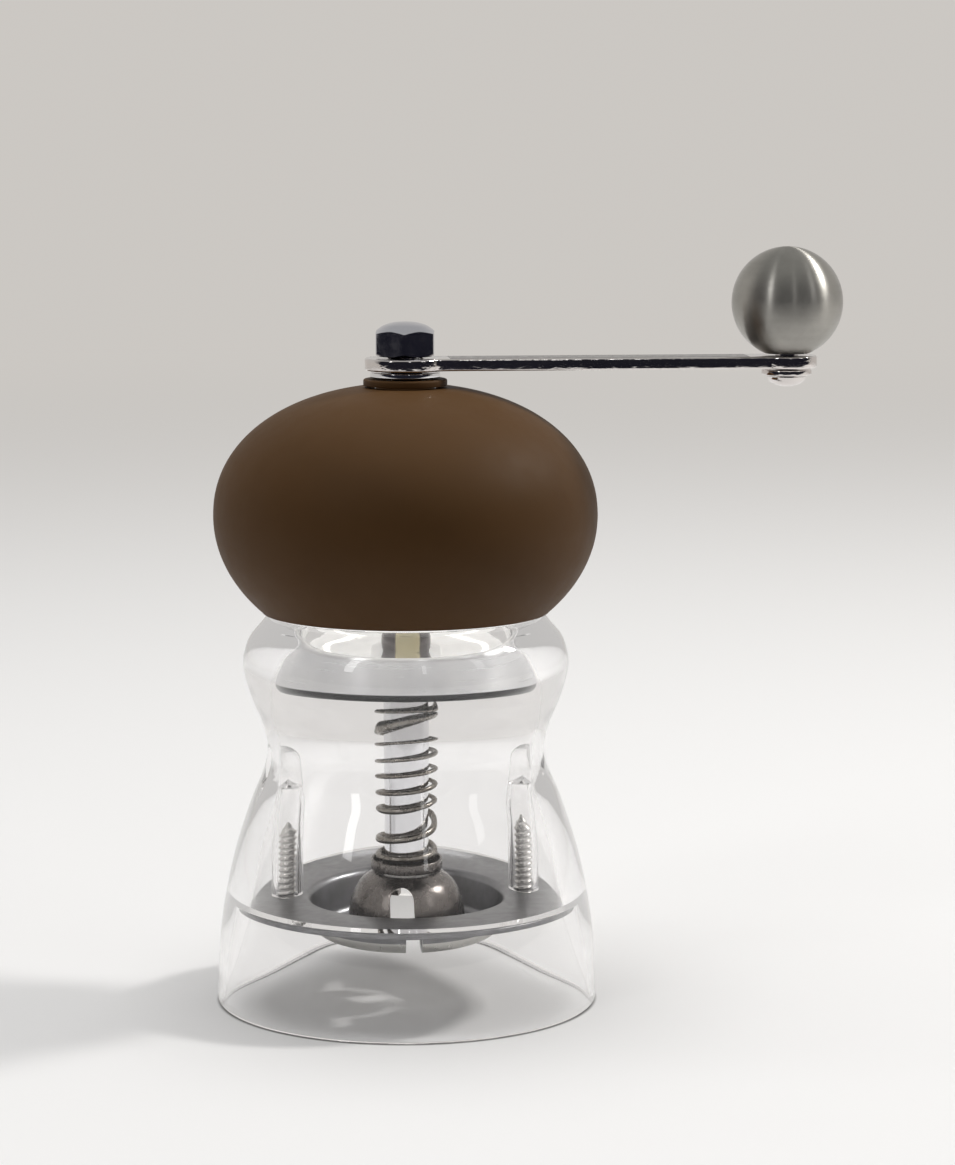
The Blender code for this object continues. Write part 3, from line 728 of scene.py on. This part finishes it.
def lid_pieces():
    """The lid's turned pieces: bush, plug, guide bush, sleeve, stopper cup and thrust washer."""
    neck = [(4.05, 93.0), (BUSH_HOLE - GAP, 93.0), (BUSH_HOLE - GAP, DOME_TOP + GAP)]
    neck += arc((FLANGE_RADIUS - 0.15, DOME_TOP + GAP + 0.15), 0.15, -90, 0, 3)
    neck += arc((FLANGE_RADIUS - 0.3, FLANGE_TOP - 0.3), 0.3, 0, 90, 5)
    stand_for(lathe("neck_bush_fine", neck + [(4.05, FLANGE_TOP)], BROWN), "neck_bush")

    plug = [(5.3, PLUG_BOTTOM), (6.9, PLUG_BOTTOM), (6.9, PLUG_FLOOR)]
    plug += [(PLUG_RADIUS - 0.3, PLUG_FLOOR), (PLUG_RADIUS, PLUG_FLOOR + 0.3)]
    plug += [(PLUG_RADIUS, PLUG_TOP), (5.3, PLUG_TOP)]
    # painted glow: the plug is glowing white
    stand_for(lathe("dome_plug_fine", plug, PAINTED_GLOW_WHITE), "dome_plug")

    guide = [(BORE, 59.7)] + arc((GUIDE_RADIUS - 0.2, 59.9), 0.2, -90, 0, 3)
    guide += [(GUIDE_RADIUS, 60.6), (5.0, 60.6), (5.0, GUIDE_TOP), (BORE, GUIDE_TOP)]
    guide = lathe("guide_bush_fine", guide, NYLON)
    # painted glow on the guide bush's underside
    line(guide, PAINTED_GLOW_WHITE, lambda centre, normal: centre.z < 60.65 * MM
         and centre.xy.length > 4.0 * MM)
    stand_for(guide, "guide_bush")

    sleeve = ring_outline(BORE, SLEEVE_RADIUS, CUP_BOTTOM + CUP_WALL + GAP, SLEEVE_TOP, 0.12)
    stand_for(lathe("shaft_sleeve_fine", sleeve, SLEEVE), "shaft_sleeve")

    corner = (CUP_RADIUS - 1.5, CUP_BOTTOM + 1.5)
    cup = arc(corner, 1.5, -90, 0, 10)
    cup += arc((CUP_RADIUS - CUP_WALL / 2, CUP_RIM - 0.4), 0.4, 0, 180, 8)
    cup += arc(corner, 1.5 - CUP_WALL, 0, -90, 8)
    cup += [(BORE, CUP_BOTTOM + CUP_WALL), (BORE, CUP_BOTTOM)]
    cup = lathe("stopper_cup_fine", cup, CUP_STEEL, steps=ROUND_STEPS)
    inner_radius = (CUP_RADIUS - CUP_WALL + 0.05) * MM
    inner_floor = (CUP_BOTTOM + CUP_WALL - 0.05) * MM
    line(cup, POLISHED, lambda centre, normal: centre.xy.length < inner_radius
         and centre.z > inner_floor)
    stand_for(cup, "stopper_cup")

    low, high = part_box("thrust_washer")
    thrust = ring_outline(4.0, 5.65, low.z / MM, high.z / MM, 0.14)
    stand_for(lathe("thrust_washer_fine", thrust, CHROME), "thrust_washer")


# ---------------------------------------------------------------------------- crank and knob

ARM_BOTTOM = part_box("crank_arm")[0].z / MM
ARM_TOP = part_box("crank_arm")[1].z / MM
HUB_RADIUS = 6.5
EYE_RADIUS = 4.9
ARM_WIDTH = 7.4
NUT_FLATS = 9.3
HUB_END = 7.0              # where the painted dark reflection on the bar's top starts, from the mill's axis
EYE_START = 6.5            # and where it ends, from the knob's axis
NUT_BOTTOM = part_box("acorn_nut")[0].z / MM
NUT_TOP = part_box("acorn_nut")[1].z / MM
BALL_RADIUS = 9.0
BALL_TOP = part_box("knob_ball")[1].z / MM
BALL_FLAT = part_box("knob_ball")[0].z / MM


def arm_outline():
    """Round hub eye, straight bar and smaller knob eye, with rounded roots where they meet."""
    half = ARM_WIDTH / 2
    hub_root = math.degrees(math.asin((half + 0.6) / HUB_RADIUS))
    eye_root = math.degrees(math.asin((half + 0.1) / EYE_RADIUS))
    hub = arc((0, 0), HUB_RADIUS, hub_root, 360 - hub_root, 64)
    knob = arc((CRANK_RADIUS, 0), EYE_RADIUS, -180 + eye_root, 180 - eye_root, 48)
    lower_root = [(5.6, -half - 0.36), (6.6, -half - 0.15), (7.6, -half - 0.04), (8.6, -half)]
    return hub + lower_root + knob + [(x, -y) for x, y in lower_root[::-1]]


def crank_arm():
    """Flat plated bar with eased edges, a square hole at the hub and a round one at the knob."""
    arm = prism("crank_arm_fine", arm_outline(), ARM_BOTTOM, ARM_TOP, WORN_CHROME)
    ease(arm, 0.28, 4, 50)
    cut(arm, prism("hub_square", square(5.6), ARM_BOTTOM - 1, ARM_TOP + 1, CHROME))
    hole = prism("knob_hole", arc((0, 0), 1.9, 0, 352.5, 47), ARM_BOTTOM - 1, ARM_TOP + 1, CHROME)
    hole.location.x = CRANK_RADIUS * MM
    cut(arm, hole)
    settle(arm, 28)
    ends = (HUB_END * MM, (CRANK_RADIUS - EYE_START) * MM)
    bar = bmesh.new()
    bar.from_mesh(arm.data)
    for x in ends:
        everything = bar.verts[:] + bar.edges[:] + bar.faces[:]
        bmesh.ops.bisect_plane(bar, geom=everything, plane_co=(x, 0, 0), plane_no=(1, 0, 0))
    bar.to_mesh(arm.data)
    bar.free()
    # painted dark reflection on the bar's flat top between the eyes
    line(arm, ARM_TOP_DARK_REFLECTION, lambda centre, normal: normal.z > 0.99
         and ends[0] < centre.x < ends[1])
    return stand_for(arm, "crank_arm")


def acorn_nut():
    """Domed hexagon nut: the turned blank cut by a hexagon, then eased."""
    corner = NUT_FLATS / math.sqrt(3)
    turned = [(2.9, NUT_BOTTOM), (4.5, NUT_BOTTOM), (corner, NUT_BOTTOM + 0.5)]
    turned.append((corner, NUT_TOP - 1.9))
    turned += through([(4.75, NUT_TOP - 1.55), (4.3, NUT_TOP - 1.15), (3.3, NUT_TOP - 0.55),
                       (1.7, NUT_TOP - 0.12), (0, NUT_TOP)], 6)
    turned += [(0, NUT_TOP - 0.9), (2.3, NUT_TOP - 0.9), (2.9, NUT_TOP - 1.2)]
    nut = lathe("acorn_nut_fine", turned, NUT_CHROME, steps=144)
    hexagon = [(corner * math.cos(math.radians(a)), corner * math.sin(math.radians(a)))
               for a in range(24, 384, 60)]
    guide = prism("hexagon_guide", hexagon, NUT_BOTTOM - 1, NUT_TOP + 1, CHROME)
    ease(guide, 0.18, 3)
    cut(nut, guide, "INTERSECT")
    return stand_for(settle(nut, 22), "acorn_nut")


def knob_pieces():
    """Ball with a flat underside, its domed screw and the washer between screw and arm."""
    centre = BALL_TOP - BALL_RADIUS
    flat = math.degrees(math.asin((BALL_FLAT - centre) / BALL_RADIUS))
    outline = arc((0, centre), BALL_RADIUS, flat, 90, 48)
    outline[-1] = (0, BALL_TOP)
    blind = [(0, 113.3), (1.9, 112.6), (1.9, BALL_FLAT)]
    stand_for(lathe("knob_ball_fine", outline + blind, BRUSHED, steps=128), "knob_ball", KNOB_AXIS)

    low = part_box("knob_screw")[0].z / MM
    head = through([(0, low), (1.2, low + 0.12), (2.2, low + 0.5), (2.9, low + 1.05),
                    (3.15, low + 1.6)], 5)
    stem = [(1.6, low + 1.6), (1.6, 111.8), (1.2, 112.2), (0, 112.2)]
    stand_for(lathe("knob_screw_fine", head + stem, WORN_CHROME), "knob_screw", KNOB_AXIS)

    low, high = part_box("knob_washer")
    washer = ring_outline(1.9, 4.05, low.z / MM, high.z / MM, 0.2)
    stand_for(lathe("knob_washer_fine", washer, WORN_CHROME), "knob_washer", KNOB_AXIS)


# ---------------------------------------------------------------------------- grinding gear

SHAFT_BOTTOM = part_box("drive_shaft")[0].z / MM
SHAFT_SHOULDER = 100.0
SQUARE_TOP = 104.05
SHAFT_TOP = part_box("drive_shaft")[1].z / MM
SHAFT_FLAT = 3.15
CLIP_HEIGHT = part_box("bell_clip")[0].z / MM
BELL_RADIUS = 9.6
BELL_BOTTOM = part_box("grinding_bell")[0].z / MM
BELL_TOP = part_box("grinding_bell")[1].z / MM
BELL_WALL = 1.3
WINDOW_WIDTH = 3.9
WINDOW_MIDDLE = 13.4
WINDOW_LEAN = 4.0          # degrees off upright
WINDOW_TURN = -8.0         # degrees round the bell from the front
SEAT_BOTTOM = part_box("spring_seat")[0].z / MM
SEAT_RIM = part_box("spring_seat")[1].z / MM
SEAT_FLOOR = SEAT_BOTTOM + 0.7
WASHER_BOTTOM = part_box("spring_washer")[0].z / MM
SEAT_RADIUS = 5.9
WASHER_RADIUS = 5.3
SPRING_RADIUS = 4.65
WIRE_RADIUS = 0.5
SPRING_TURNS = 9.0
CLOSED_PITCH = 1.15


def spring_curve(steps_per_turn):
    """Centre line of the spring: one closed turn at each end and an even pitch between."""
    low = SEAT_FLOOR + GAP + WIRE_RADIUS
    high = WASHER_BOTTOM - GAP - WIRE_RADIUS
    count = int(SPRING_TURNS * steps_per_turn)
    weights = []
    for step in range(count):
        turn = (step + 0.5) / steps_per_turn
        from_end = min(turn, SPRING_TURNS - turn)
        blend = min(max((from_end - 0.8) / 0.5, 0.0), 1.0)
        weights.append(blend * blend * (3 - 2 * blend))
    open_turns = sum(weights) / steps_per_turn
    extra = (high - low - SPRING_TURNS * CLOSED_PITCH) / open_turns
    points = []
    height = low
    for step in range(count + 1):
        angle = 2 * math.pi * step / steps_per_turn
        points.append(Vector((SPRING_RADIUS * math.cos(angle), SPRING_RADIUS * math.sin(angle),
                              height)))
        if step < count:
            height += (CLOSED_PITCH + extra * weights[step]) / steps_per_turn
    return points


def compression_spring(steps=48, sides=14):
    """Round wire swept along the coil."""
    bm = bmesh.new()
    points = spring_curve(steps)
    rings = []
    for index, point in enumerate(points):
        before = points[max(index - 1, 0)]
        after = points[min(index + 1, len(points) - 1)]
        along = (after - before).normalized()
        outward = Vector((point.x, point.y, 0)).normalized()
        upward = along.cross(outward).normalized()
        ring = []
        for side in range(sides):
            angle = 2 * math.pi * side / sides
            offset = outward * math.cos(angle) + upward * math.sin(angle)
            ring.append(bm.verts.new(point + offset * WIRE_RADIUS))
        rings.append(ring)
    for lower, upper in zip(rings, rings[1:]):
        for side in range(sides):
            after = (side + 1) % sides
            bm.faces.new((lower[side], lower[after], upper[after], upper[side]))
    bm.faces.new(rings[0][::-1])
    bm.faces.new(rings[-1])
    spring = finish_mesh("compression_spring_fine", bm, SPRING, 60)
    spring.location.x = MILL_AXIS
    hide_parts("compression_spring")
    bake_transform(spring)
    return spring


def spring_rings():
    """The upper washer and the cup ring that the spring stands in."""
    washer = ring_outline(BORE, WASHER_RADIUS, WASHER_BOTTOM, WASHER_BOTTOM + 0.7, 0.15)
    stand_for(lathe("spring_washer_fine", washer, SPRING), "spring_washer")
    ring = [(BORE, SEAT_BOTTOM)] + arc((SEAT_RADIUS - 0.3, SEAT_BOTTOM + 0.3), 0.3, -90, 0, 5)
    ring += arc((SEAT_RADIUS - 0.22, SEAT_RIM - 0.22), 0.22, 0, 180, 7)
    ring += [(SEAT_RADIUS - 0.45, SEAT_FLOOR), (BORE, SEAT_FLOOR)]
    stand_for(lathe("spring_seat_fine", ring, DARK), "spring_seat")


def drive_shaft():
    """Round shaft with flats for the bell, a clip groove, a square and a threaded end."""
    groove = 3.0
    outline = [(0, SHAFT_BOTTOM)] + arc((SHAFT_RADIUS - 0.4, SHAFT_BOTTOM + 0.4), 0.4, -90, 0, 4)
    outline += [(SHAFT_RADIUS, CLIP_HEIGHT - GAP), (groove, CLIP_HEIGHT - GAP)]
    outline += [(groove, CLIP_HEIGHT + 1.1), (SHAFT_RADIUS, CLIP_HEIGHT + 1.1)]
    outline += [(SHAFT_RADIUS, SEAT_BOTTOM), (SHAFT_RADIUS, SHAFT_SHOULDER - 0.3)]
    outline += [(SHAFT_RADIUS - 0.3, SHAFT_SHOULDER), (0, SHAFT_SHOULDER)]
    shaft = lathe("drive_shaft_fine", outline, CHROME)
    for x in (-6.0, 6.0):
        side = 2 * (6.0 - SHAFT_FLAT)
        flat = prism(f"bell_flat_{x:.0f}", square(side), 9.0, SEAT_BOTTOM - GAP, CHROME)
        flat.scale.y = 2.0
        flat.location.x = x * MM
        cut(shaft, flat)
    cut(shaft, prism("square_guide", square(5.0), SHAFT_SHOULDER - 3, SQUARE_TOP, CHROME), "UNION")
    end = thread("thread_guide", SQUARE_TOP - 0.5, SHAFT_TOP, 2.15, 2.5, 0.8, CHROME, taper=0.5)
    cut(shaft, end, "UNION")
    settle(shaft)
    # painted glow: the shaft's lower end, below the spring seat, is glowing white
    line(shaft, PAINTED_GLOW_WHITE, lambda centre, normal: centre.z < SEAT_BOTTOM * MM)
    return stand_for(shaft, "drive_shaft")


def double_flat(radius, flat, steps=24):
    """Outline of a round bar with two flats, facing +X and -X."""
    reach = math.degrees(math.acos(flat / radius))
    right = arc((0, 0), radius, reach, 180 - reach, steps)
    left = arc((0, 0), radius, 180 + reach, 360 - reach, steps)
    return right + left


def bell_outline():
    """Bell-shaped shell with a roof that the shaft passes through."""
    outer = through([(5.6, BELL_TOP), (7.6, 18.8), (8.9, 16.6), (9.5, 14.0),
                     (BELL_RADIUS, BELL_BOTTOM)], 8)
    inner = through([(BELL_RADIUS - BELL_WALL, BELL_BOTTOM), (8.2, 14.0), (7.6, 16.2), (6.4, 18.0),
                     (5.2, BELL_TOP - BELL_WALL)], 5)
    return [(2.0, BELL_TOP)] + outer + inner + [(2.0, BELL_TOP - BELL_WALL)]


def arch_outline(width, foot, crown, steps=14):
    """Doorway outline: straight sides under a round top."""
    half = width / 2
    return [(half, foot)] + arc((0, crown - half), half, 0, 180, steps) + [(-half, foot)]


def grinding_bell():
    """Rotor with three leaning arched windows, which leave three broad cutting wings."""
    bell = lathe("grinding_bell_fine", bell_outline(), DARK, steps=120)
    keyway = double_flat(SHAFT_RADIUS + GAP, SHAFT_FLAT + GAP)
    cut(bell, prism("bell_keyway", keyway, 17, 22, DARK))
    for index in range(3):
        outline = arch_outline(WINDOW_WIDTH, -4.0, 5.8)
        arch = prism(f"bell_window_{index}", outline, 4.3, 12.0, DARK)
        lean = Matrix.Rotation(math.radians(WINDOW_LEAN), 4, "Z")
        stand = Matrix.Rotation(math.radians(90), 4, "X")
        lift = Matrix.Translation(Vector((0, 0, WINDOW_MIDDLE * MM)))
        turn = Matrix.Rotation(math.radians(WINDOW_TURN + 120 * index), 4, "Z")
        arch.matrix_world = turn @ lift @ stand @ lean
        cut(bell, arch)
    ease(bell, 0.16, 2, 55)
    stand_for(settle(bell, 32), "grinding_bell")

    clip = arc((0, 0), 5.0, 290, 610, 60) + arc((0, 0), 3.45, 610, 290, 60)
    stand_for(prism("bell_clip_fine", clip, CLIP_HEIGHT, CLIP_HEIGHT + 0.8, DARK), "bell_clip")


# ---------------------------------------------------------------------------- studio

CAMERA_DISTANCE = 0.5668
CAMERA_HEIGHT = 0.1462
CAMERA_PITCH = 7.8
CAMERA_TURN = -5.5
CAMERA_SIDE = 0.0116
LENS = 36 * 3535 / 1165    # millimetres, for a 36 mm sensor along the picture's long side


def camera():
    data = bpy.data.cameras.new("camera")
    data.lens = LENS
    data.clip_start = 0.05
    data.clip_end = 200
    obj = bpy.data.objects.new("camera", data)
    bpy.context.scene.collection.objects.link(obj)
    turn = Matrix.Rotation(math.radians(CAMERA_TURN), 4, "Z")
    place = turn @ Vector((CAMERA_SIDE, -CAMERA_DISTANCE, 0))
    obj.location = (MILL_AXIS + place.x, place.y, CAMERA_HEIGHT)
    obj.rotation_euler = (math.radians(90 - CAMERA_PITCH), 0, math.radians(CAMERA_TURN))
    bpy.context.scene.camera = obj


def soft_light(name, place, size, power, color=(1.0, 1.0, 1.0), target=(0, 0, 0.06)):
    data = bpy.data.lights.new(name, "AREA")
    data.shape = "RECTANGLE"
    data.size, data.size_y = size
    data.energy = power
    data.color = color
    obj = bpy.data.objects.new(name, data)
    bpy.context.scene.collection.objects.link(obj)
    obj.location = place
    obj.rotation_euler = (Vector(target) - Vector(place)).to_track_quat("-Z", "Y").to_euler()
    return obj


def studio_world():
    """Pale surroundings. Light comes from a room that is dark on the near side and pale beyond."""
    world = bpy.data.worlds.new("studio")
    bpy.context.scene.world = world
    world.use_nodes = True
    graph = Graph(world.node_tree)
    coordinates = graph.tree.nodes.new("ShaderNodeTexCoord")
    split = graph.tree.nodes.new("ShaderNodeSeparateXYZ")
    graph.link(coordinates.outputs["Generated"], split.inputs["Vector"])
    beyond = graph.step(split.outputs["Y"], -0.2, 0.25)
    above = graph.step(split.outputs["Z"], 0.35, 0.85)
    ray, mirrored = graph.mirrored()
    share = graph.sum("MAXIMUM", mirrored, ray.outputs["Is Diffuse Ray"])
    room = graph.mix(above, graph.mix(beyond, ROOM_DARK, ROOM_LIGHT), CEILING)
    sky = graph.mix(share, graph.pale(), room)
    graph.link(sky, graph.tree.nodes["Background"].inputs["Color"])


PAPER = (0.835, 0.83, 0.83)
CONTACT_SHADE = (0.16, 0.155, 0.155)
RIM_LINE = BASE_RADIUS - 0.7            # where the body's foot touches the table, in millimetres
FAR_FADE = (0.12, 1.5)                  # metres from the middle, over which the table turns pale
MIRROR_EDGE = (0.24, 0.38)              # metres in front, where the table ends for mirrors
BOUNCE_EDGE = (0.05, 0.18)              # and where it ends for the light that it throws back


def floor():
    """Pale table top, whiter near the mill. Mirrors see it end a short way in front of the mill."""
    bpy.ops.mesh.primitive_circle_add(vertices=96, radius=60, fill_type="NGON")
    top = bpy.context.object
    top.name = "floor"
    n = Nodes("floor_paper")
    n.set(Roughness=0.85, Specular_IOR_Level=0.2)
    length = n.tree.nodes.new("ShaderNodeVectorMath")
    length.operation = "LENGTH"
    n.link(n.place, length.inputs[0])
    from_mill = n.tree.nodes.new("ShaderNodeVectorMath")
    from_mill.operation = "DISTANCE"
    n.link(n.place, from_mill.inputs[0])
    from_mill.inputs[1].default_value = (MILL_AXIS, 0, 0)
    off_rim = n.sum("ABSOLUTE", n.sum("SUBTRACT", from_mill.outputs["Value"], RIM_LINE * MM))
    paper = n.mix(n.step(off_rim, 0.3 * MM, 1.1 * MM), CONTACT_SHADE, PAPER)
    n.link(paper, n.shader.inputs["Base Color"])

    far = n.step(length.outputs["Value"], *FAR_FADE)
    forward = n.sum("MULTIPLY", n.along("Y"), -1.0)
    ray, mirrored = n.mirrored()
    in_mirrors = n.sum("MULTIPLY", n.step(forward, *MIRROR_EDGE), mirrored)
    in_bounces = n.sum("MULTIPLY", n.step(forward, *BOUNCE_EDGE), ray.outputs["Is Diffuse Ray"])
    ended = n.sum("MAXIMUM", in_mirrors, in_bounces)
    pale_paper = n.glow(far, n.shader.outputs["BSDF"], n.pale())
    n.surface(n.glow(ended, pale_paper, ROOM_DARK))
    top.data.materials.append(n.material)


def studio():
    camera()
    studio_world()
    floor()
    soft_light("key_right", (0.98, 0.12, 0.95), (0.17, 0.17), 8.0, (1.0, 0.985, 0.96))
    soft_light("front_left", (-0.67, -0.62, 0.60), (0.12, 0.45), 0.9)
    soft_light("front_middle", (0.13, -0.95, 0.55), (0.05, 0.3), 0.15)
    soft_light("front_right", (0.72, -0.58, 0.60), (0.12, 0.4), 0.3)
    overhead = soft_light("overhead", (-0.08, 0.02, 1.1), (0.9, 0.6), 4.7)
    overhead.visible_glossy = False
    bpy.context.scene.view_settings.view_transform = "Standard"


clear_body()
base_plate()
for screw_side, screw_x in screw_places():
    plate_screw(screw_side, screw_x)
dome_shell()
lid_pieces()
crank_arm()
acorn_nut()
knob_pieces()
compression_spring()
spring_rings()
drive_shaft()
grinding_bell()
studio()
